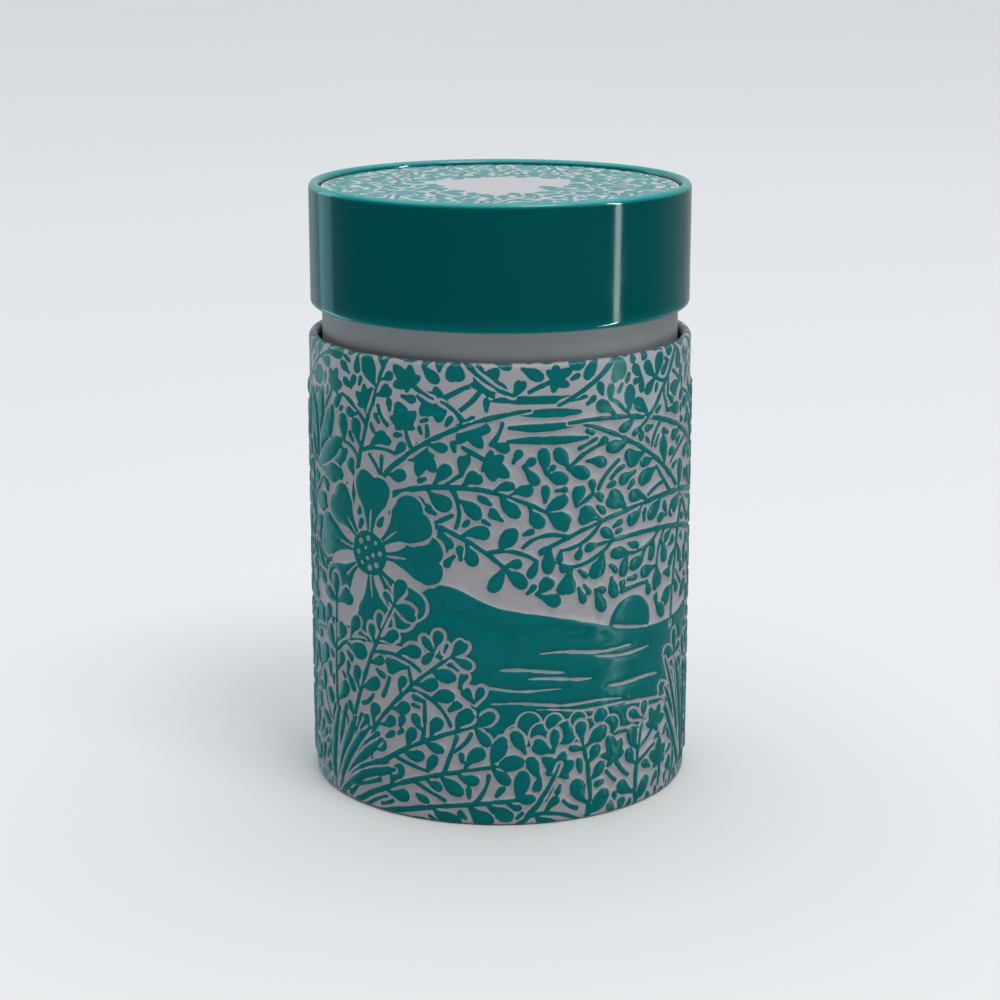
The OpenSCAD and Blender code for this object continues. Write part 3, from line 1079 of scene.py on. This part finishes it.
def spread_points(low, high, across, up):
    """Staggered rows of points that fill a box."""
    rows = np.arange(low[1] + up / 2, high[1], up)
    cols = np.arange(low[0] + across / 2, high[0] - across / 2, across)
    x = cols[None, :] + np.where(np.arange(len(rows)) % 2, across / 2, 0)[:, None]
    return np.column_stack([x.ravel(), np.repeat(rows, len(cols))])


def body_points(sheet):
    """Points between the outlines, closer together on the bends, the furrows and along the seam."""
    half = AROUND / 2
    side = half - SHEET_SIDE
    furrowed = spread_points((-half, FURROW_LEVELS[0]), (half, FURROW_LEVELS[1]), *FURROW_SPACING)
    inner = [spread_points((-side, FOOT_ARC), (side, WALL_END), SPREAD, SPREAD * ROW_SHARE),
             spread_points((-half, SHEET_FOOT), (half, FOOT_ARC), *FOOT_SPACING),
             spread_points((-half, WALL_END), (half, PRINT_END - SHEET_TOP), *CURL_SPACING),
             furrowed[between(sheet.furrows, furrowed, sheet.low) > FURROW_LEAST]]
    inner = [p[np.abs(p[:, 0]) < half - max(SEAM_INSETS) - SEAM_ROOM] for p in inner]
    rows = np.arange(FOOT_ARC, WALL_END, SEAM_STEP)
    seam = [np.column_stack([np.full(len(rows), way * (half - inset)), rows])
            for way in (-1, 1) for inset in SEAM_INSETS]
    return np.concatenate(inner + seam)


def body_surface(sheet, places):
    """Points and outward directions of the body's outside at places on its unrolled sheet."""
    x, y = sheet.places()
    rise = body_height(sheet.at(places), between(sheet.furrows, places, sheet.low), *places.T)
    across, up = slopes(body_height(sheet.depth, sheet.furrows, x, y), places, sheet.low)
    radius, height, out_r, out_z = body_profile(places[:, 1])
    angle = places[:, 0] / WALL_R
    away = np.column_stack([np.sin(angle), -np.cos(angle)])
    aside = np.column_stack([np.cos(angle), np.sin(angle)])
    points = np.column_stack([away * (radius + rise * out_r)[:, None], height + rise * out_z])
    normals = np.column_stack([away * (out_r + up * out_z)[:, None] - aside * across[:, None],
                               out_z - up * out_r])
    return points, normals


def body_inside(first):
    """Points and quads of the rest of the shell: its curl's end, its inside and its hem."""
    curl = (WALL_R - CURL_R, BODY_TOP - CURL_R)
    hem = (WALL_R - HEM_R, HEM_R)
    hem_in = WALL_R - SHEET - HEM_WIDTH
    return turned(np.vstack([
        arc(curl, CURL_R, math.pi, CURL_END, BEND_STEPS),
        arc(curl, CURL_R - SHEET, CURL_END, 0, CURL_STEPS),
        arc(hem, HEM_R - SHEET, 0, -math.pi / 2, BEND_STEPS),
        [(hem_in, SHEET), (hem_in, 0), (WALL_R - HEM_R, 0)]]), first)


def with_rest(points, faces, kinds, normals, rest, quads, kind):
    """A printed surface joined to the plain rest of its piece, which is all of one kind."""
    return welded(np.vstack([points, rest]), faces.tolist() + quads, kinds.tolist() + [kind] * len(quads),
                  np.vstack([normals, np.zeros(rest.shape)]))


RIM_SHARE = 0.15  # share of the rolled edge's outside that looks like the wall
ON_RIM = 2  # places of the rim's and the bare metal among the body's materials
BARE_METAL = 4


def make_body(materials):
    """The body's shell. Materials: the wall's ground and lacquer, the rim's, and bare metal."""
    sheet = body_print()
    places, faces = triangles(sheet, body_border(), body_points(sheet))
    points, normals = body_surface(sheet, places)
    printed = sheet.at(places[faces].mean(axis=1)) > 0
    on_rim = places[faces][:, :, 1].mean(axis=1) > WALL_END + RIM_SHARE * (PRINT_END - WALL_END)
    mesh = with_rest(points, faces, printed + ON_RIM * on_rim, normals, *body_inside(len(points)), BARE_METAL)
    points, faces, kinds, normals = mesh
    piece = make_piece("embossed_body", points, faces, "tin", materials, kinds, normals)
    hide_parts("body_shell")


PANEL_EDGE = 0.6  # ring left without inner points at the printed disc's edge


def make_lid_panel(materials):
    """The printed disc in the lid's recess. Materials: its ground and its lacquer."""
    sheet = lid_print()
    angle = FULL * np.arange(RING) / RING
    border = PANEL_R * np.column_stack([np.sin(angle), -np.cos(angle)])
    inner = spread_points(sheet.low, -sheet.low, SPREAD, SPREAD * ROW_SHARE)
    inner = inner[np.hypot(*inner.T) < PANEL_R - PANEL_EDGE]
    places, faces = triangles(sheet, border, inner)
    across, up = slopes(LID_EMBOSS * relief(sheet.depth), places, sheet.low)
    points = np.column_stack([places, PANEL_HIGH + LID_EMBOSS * relief(sheet.at(places))])
    normals = np.column_stack([-across, -up, np.ones(len(places))])
    printed = sheet.at(places[faces].mean(axis=1)) > 0
    rest = turned(np.array([(0, PANEL_LOW), (PANEL_R, PANEL_LOW), (PANEL_R, PANEL_HIGH)]), len(points))
    points, faces, kinds, normals = with_rest(points, faces, printed.astype(int), normals, *rest, 0)
    piece = make_piece("embossed_lid_panel", points, faces, "lid", materials, kinds, normals)
    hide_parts("lid_panel")


EDGE_SHARE = 0.45  # share of a rolled edge's width that shines
LID_BEND = 0.3  # radius of the bend between the lid's bead and its floor
LID_CURL_STEPS = 36
LID_BEAD_STEPS = 28


def make_lid(wall, edges):
    """The lid's shell, whose rolled edges shine more than its wall."""
    bead = (LID_BEAD - LID_SHEET) / 2
    middle = LID_R - LID_BEAD / 2
    floor = LID_HIGH - LID_FLOOR_DROP
    line = np.vstack([
        arc((middle, LID_LOW + LID_BEAD / 2), bead, -CURL_END, 0, LID_CURL_STEPS),
        arc((middle, LID_HIGH - LID_BEAD / 2), bead, 0, math.pi, LID_BEAD_STEPS),
        arc((middle - bead - LID_BEND, floor + LID_BEND), LID_BEND, 0, -math.pi / 2, BEND_STEPS),
        [(0.0, floor)]])
    points, quads = turned(sheet_outline(line, LID_SHEET))
    heights = points[[quad[0] for quad in quads], 2]
    shine = LID_BEAD * EDGE_SHARE
    kinds = ((heights > LID_HIGH - shine) | (heights < LID_LOW + shine)).astype(int)
    points, faces, kinds, _ = welded(points, quads, kinds.tolist(), np.zeros(points.shape))
    piece = make_piece("lacquered_lid", points, faces, "lid", (wall, edges), kinds)
    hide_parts("lid_shell")


# ---- Materials -----------------------------------------------------------------------------------
class Looks:
    """A material and the short ways to add to it."""

    def __init__(self, name, colour, roughness, metallic=0.0, gloss=0.5):
        """Starts from a plain colour. Gloss is the specular level."""
        self.material = bpy.data.materials.new(name)
        self.material.use_nodes = True
        self.nodes = self.material.node_tree.nodes
        self.shader = self.nodes["Principled BSDF"]
        self.shader.inputs["Base Color"].default_value = (*colour, 1)
        self.shader.inputs["Roughness"].default_value = roughness
        self.shader.inputs["Metallic"].default_value = metallic
        self.shader.inputs["Specular IOR Level"].default_value = gloss
        self.place = self.nodes.new("ShaderNodeTexCoord").outputs["Object"]

    def join(self, source, target):
        """Links two sockets."""
        self.material.node_tree.links.new(source, target)

    def noise(self, size_mm, detail=3.0, stretch=(1, 1, 1)):
        """Noise with features of about a size in millimetres, drawn out along an axis by stretch."""
        spread = self.nodes.new("ShaderNodeMapping")
        spread.inputs["Scale"].default_value = [1 / s for s in stretch]
        self.join(self.place, spread.inputs["Vector"])
        node = self.nodes.new("ShaderNodeTexNoise")
        node.inputs["Scale"].default_value = 1 / (size_mm * MM)
        node.inputs["Detail"].default_value = detail
        self.join(spread.outputs["Vector"], node.inputs["Vector"])
        return node.outputs["Fac"]

    def span(self, source, low, high, start=0.3, end=0.7):
        """A number that runs from low to high as the source runs from start to end."""
        node = self.nodes.new("ShaderNodeMapRange")
        node.inputs["From Min"].default_value = start
        node.inputs["From Max"].default_value = end
        node.inputs["To Min"].default_value = low
        node.inputs["To Max"].default_value = high
        self.join(source, node.inputs["Value"])
        return node.outputs["Result"]

    def tint(self, share, other):
        """Mixes another colour into the base colour by a share that varies."""
        node = self.nodes.new("ShaderNodeMix")
        node.data_type = "RGBA"
        factor, here, there = node.inputs[0], node.inputs[6], node.inputs[7]
        base = self.shader.inputs["Base Color"]
        here.default_value = base.default_value
        there.default_value = (*other, 1)
        if base.is_linked:
            self.join(base.links[0].from_socket, here)
        self.join(share, factor)
        self.join(node.outputs[2], base)

    def roughen(self, source, low, high):
        """Varies the roughness with a source."""
        self.join(self.span(source, low, high), self.shader.inputs["Roughness"])

    def bump(self, source, height_mm):
        """Adds a bump to those before it."""
        node = self.nodes.new("ShaderNodeBump")
        node.inputs["Distance"].default_value = height_mm * MM
        self.join(source, node.inputs["Height"])
        normal = self.shader.inputs["Normal"]
        if normal.is_linked:
            self.join(normal.links[0].from_socket, node.inputs["Normal"])
        self.join(node.outputs["Normal"], normal)


def print_ground(name, gloss, colour=(0.49, 0.48, 0.505)):
    """Matte off-white enamel with a fine tooth."""
    looks = Looks(name, colour, 0.5, gloss=gloss)
    grain = looks.noise(0.22, 2.0)
    looks.tint(looks.span(grain, 0, 1), [0.86 * part for part in colour])
    looks.tint(looks.span(looks.noise(14, 3.0), 0, 0.35), [0.9 * part for part in colour])
    looks.roughen(looks.noise(3, 3.0), 0.42, 0.6)
    looks.bump(grain, 0.012)
    return looks.material


def print_lacquer(name, gloss, colour=(0.001, 0.175, 0.177)):
    """Glossy teal over the raised shapes."""
    looks = Looks(name, colour, 0.25, gloss=gloss)
    looks.tint(looks.span(looks.noise(0.3, 3.0), 0, 0.6), [0.83 * part for part in colour])
    looks.tint(looks.span(looks.noise(9, 2.0), 0, 0.5), [1.12 * part for part in colour])
    looks.roughen(looks.noise(2.5, 3.0), 0.2, 0.34)
    looks.bump(looks.noise(0.7, 2.0), 0.006)
    return looks.material


def lid_lacquer(name, gloss):
    """Deep gloss with the slight ripple of sprayed lacquer, and painted highlights on the rolled edges."""
    looks = Looks(name, (0.001, 0.098, 0.102), 0.08, gloss=gloss)
    looks.tint(looks.span(looks.noise(18, 2.0), 0, 0.5), (0.001, 0.087, 0.091))
    split = looks.nodes.new("ShaderNodeSeparateXYZ")
    looks.join(looks.place, split.inputs["Vector"])
    edge = LID_BEAD * MM
    low = LID_LOW * MM
    high = LID_HIGH * MM
    height = split.outputs["Z"]
    # Painted highlights: lighter teal on the bead, lit from above, and on the lower roll, lit from below
    looks.tint(looks.span(height, 0, 0.8, high - 0.5 * edge, high - 0.2 * edge), (0.002, 0.42, 0.41))
    looks.tint(looks.span(height, 0, 0.8, low + edge, low), (0.001, 0.2, 0.2))
    looks.roughen(looks.noise(5, 3.0), 0.06, 0.14)
    looks.bump(looks.noise(1.8, 1.0), 0.004)
    return looks.material


def enamel():
    """Smooth matte off-white of the sleeve."""
    looks = Looks("sleeve_enamel", (0.37, 0.39, 0.4), 0.45, gloss=0.1)
    looks.tint(looks.span(looks.noise(7, 3.0), 0, 0.6), (0.335, 0.355, 0.365))
    looks.roughen(looks.noise(2.0, 2.0, (1, 1, 6)), 0.38, 0.55)
    looks.bump(looks.noise(0.35, 2.0), 0.008)
    return looks.material


def tinplate():
    """Bright rolled sheet with faint lines along the rolling direction."""
    looks = Looks("tinplate", (0.66, 0.67, 0.67), 0.3, metallic=1.0)
    lines = looks.noise(0.25, 3.0, (60, 1, 1))
    looks.tint(looks.span(looks.noise(6, 4.0), 0, 0.7), (0.5, 0.51, 0.52))
    looks.roughen(lines, 0.22, 0.42)
    looks.bump(lines, 0.006)
    return looks.material


def plain_plastic(name, colour, shade, roughness):
    """Moulded plastic with a fine spark-eroded texture."""
    looks = Looks(name, colour, roughness)
    looks.tint(looks.span(looks.noise(5, 3.0), 0, 0.5), shade)
    looks.roughen(looks.noise(1.2, 3.0), roughness - 0.07, roughness + 0.1)
    looks.bump(looks.noise(0.18, 2.0), 0.01)
    return looks.material


def foam():
    """Closed-cell foam of the lid's liner."""
    looks = Looks("liner_foam", (0.8, 0.79, 0.74), 0.7)
    cells = looks.nodes.new("ShaderNodeTexVoronoi")
    cells.inputs["Scale"].default_value = 1 / (0.45 * MM)
    looks.join(looks.place, cells.inputs["Vector"])
    looks.tint(looks.span(cells.outputs["Distance"], 0, 0.6, 0.1, 0.6), (0.68, 0.66, 0.6))
    looks.bump(cells.outputs["Distance"], 0.05)
    return looks.material


def finish_node(node, material):
    """Gives a CAD node that stays as it is its material."""
    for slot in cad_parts[node].material_slots:
        slot.material = material


def dress_inside():
    """Materials of the CAD nodes that stay as they are."""
    white = plain_plastic("sifter_plastic", (0.78, 0.78, 0.75), (0.7, 0.7, 0.67), 0.35)
    teal = plain_plastic("dial_plastic", (0.004, 0.3, 0.28), (0.004, 0.25, 0.235), 0.32)
    grey = plain_plastic("ring_plastic", (0.16, 0.16, 0.17), (0.12, 0.12, 0.13), 0.5)
    rubber = plain_plastic("gasket_rubber", (0.62, 0.61, 0.57), (0.55, 0.54, 0.5), 0.65)
    metal = tinplate()
    finish_node("inner_sleeve", enamel())
    finish_node("base_end", metal)
    finish_node("foot_gasket", rubber)
    finish_node("centering_ring", grey)
    finish_node("sifter_plate", white)
    finish_node("sifter_dial", teal)
    finish_node("pivot_washer", metal)
    finish_node("pivot_rivet", metal)
    finish_node("lid_seal", foam())
    return metal


# ---- Studio --------------------------------------------------------------------------------------
FLOOR_HALF = 8.0
BRIGHT_SKY = 0.48  # strength of the surroundings behind the tin
TOP_SKY = 1.7  # and added overhead
SKY_RAMPS = (("Y", -0.1, 0.75, BRIGHT_SKY), ("Z", 0.5, 1.0, TOP_SKY))  # axis, where each starts and ends
SEEN_SKY = 0.75  # strength of the backdrop that the camera sees
SKY_COLOUR = (0.94, 0.97, 1.0, 1)

# Light panels that face the tin: name, azimuth from the front and elevation in degrees, distance, width,
# height, watts, colour, and whether they only make glints
PANEL_LIGHTS = (("strip_right", 70.5, 0, 0.42, 0.03, 0.6, 2.0, (0.82, 1, 0.92), True),
                ("window_left", -124.5, 0, 0.45, 0.14, 0.6, 0.45, (0.4, 0.88, 1), True),
                ("window_rear_left", -142, 0, 0.45, 0.14, 0.6, 0.08, (0.4, 0.88, 1), True),
                ("fill_right", 62, 15, 2.0, 1.1, 1.1, 1.25, (1, 1, 1), False),
                ("key_above", 38, 62, 2.0, 0.75, 0.75, 10.0, (1, 0.99, 0.97), False))


def make_floor():
    """A wide pale floor that doesn't show in the gloss."""
    looks = Looks("floor", (0.82, 0.82, 0.82), 0.8, gloss=0.0)
    looks.tint(looks.span(looks.noise(300, 2.0), 0, 0.3), (0.79, 0.79, 0.79))
    half = FLOOR_HALF
    mesh = bpy.data.meshes.new("floor")
    corners = [(-half, -half, 0), (half, -half, 0), (half, half, 0), (-half, half, 0)]
    mesh.from_pydata(corners, [], [(0, 1, 2, 3)])
    mesh.materials.append(looks.material)
    floor = bpy.data.objects.new("floor", mesh)
    bpy.context.scene.collection.objects.link(floor)
    floor.visible_glossy = False


def make_world():
    """Surroundings that are bright overhead and behind the tin, and dark in front of it."""
    world = bpy.data.worlds.new("studio")
    world.use_nodes = True
    nodes = world.node_tree.nodes
    links = world.node_tree.links
    split = nodes.new("ShaderNodeSeparateXYZ")
    links.new(nodes.new("ShaderNodeTexCoord").outputs["Generated"], split.inputs["Vector"])
    total = nodes.new("ShaderNodeMath")
    for number, (axis, start, end, strength) in enumerate(SKY_RAMPS):
        ramp = nodes.new("ShaderNodeMapRange")
        ramp.interpolation_type = "SMOOTHSTEP"
        ramp.inputs["From Min"].default_value = start
        ramp.inputs["From Max"].default_value = end
        ramp.inputs["To Max"].default_value = strength
        links.new(split.outputs[axis], ramp.inputs["Value"])
        links.new(ramp.outputs["Result"], total.inputs[number])
    seen = nodes.new("ShaderNodeMix")
    links.new(nodes.new("ShaderNodeLightPath").outputs["Is Camera Ray"], seen.inputs["Factor"])
    links.new(total.outputs["Value"], seen.inputs["A"])
    seen.inputs["B"].default_value = SEEN_SKY
    nodes["Background"].inputs["Color"].default_value = SKY_COLOUR
    links.new(seen.outputs["Result"], nodes["Background"].inputs["Strength"])
    bpy.context.scene.world = world


def make_panel_light(name, azimuth, elevation, distance, width, height, watts, colour, glints_only):
    """A light panel that faces the middle of the tin."""
    data = bpy.data.lights.new(name, "AREA")
    data.shape = "RECTANGLE"
    data.size = width
    data.size_y = height
    data.energy = watts
    data.color = colour
    light = bpy.data.objects.new(name, data)
    course = math.radians(azimuth)
    rise = math.radians(elevation)
    away = Vector((math.sin(course) * math.cos(rise), -math.cos(course) * math.cos(rise), math.sin(rise)))
    light.location = away * distance + Vector((0, 0, LID_HIGH * MM / 2))
    light.rotation_euler = away.to_track_quat("Z", "Y").to_euler()
    light.visible_camera = False
    light.visible_diffuse = not glints_only
    bpy.context.scene.collection.objects.link(light)


def make_lights():
    """The studio's surroundings and its light panels."""
    make_world()
    for row in PANEL_LIGHTS:
        make_panel_light(*row)
    bpy.context.scene.view_settings.view_transform = "Standard"


make_camera()
metal = dress_inside()
make_body((print_ground("body_ground", 0.35), print_lacquer("body_lacquer", 0.09),
           print_ground("rim_ground", 0.6), print_lacquer("rim_lacquer", 0.6), metal))
# Painted light and reflection: the disc's ground and teal are lighter than the same print on the body
make_lid_panel((print_ground("panel_ground", 0.5, (0.6, 0.59, 0.61)),
                print_lacquer("panel_lacquer", 1.0, (0.03, 0.3, 0.3))))
make_lid(lid_lacquer("lid_lacquer", 0.08), lid_lacquer("lid_edge_lacquer", 0.5))
make_floor()
make_lights()
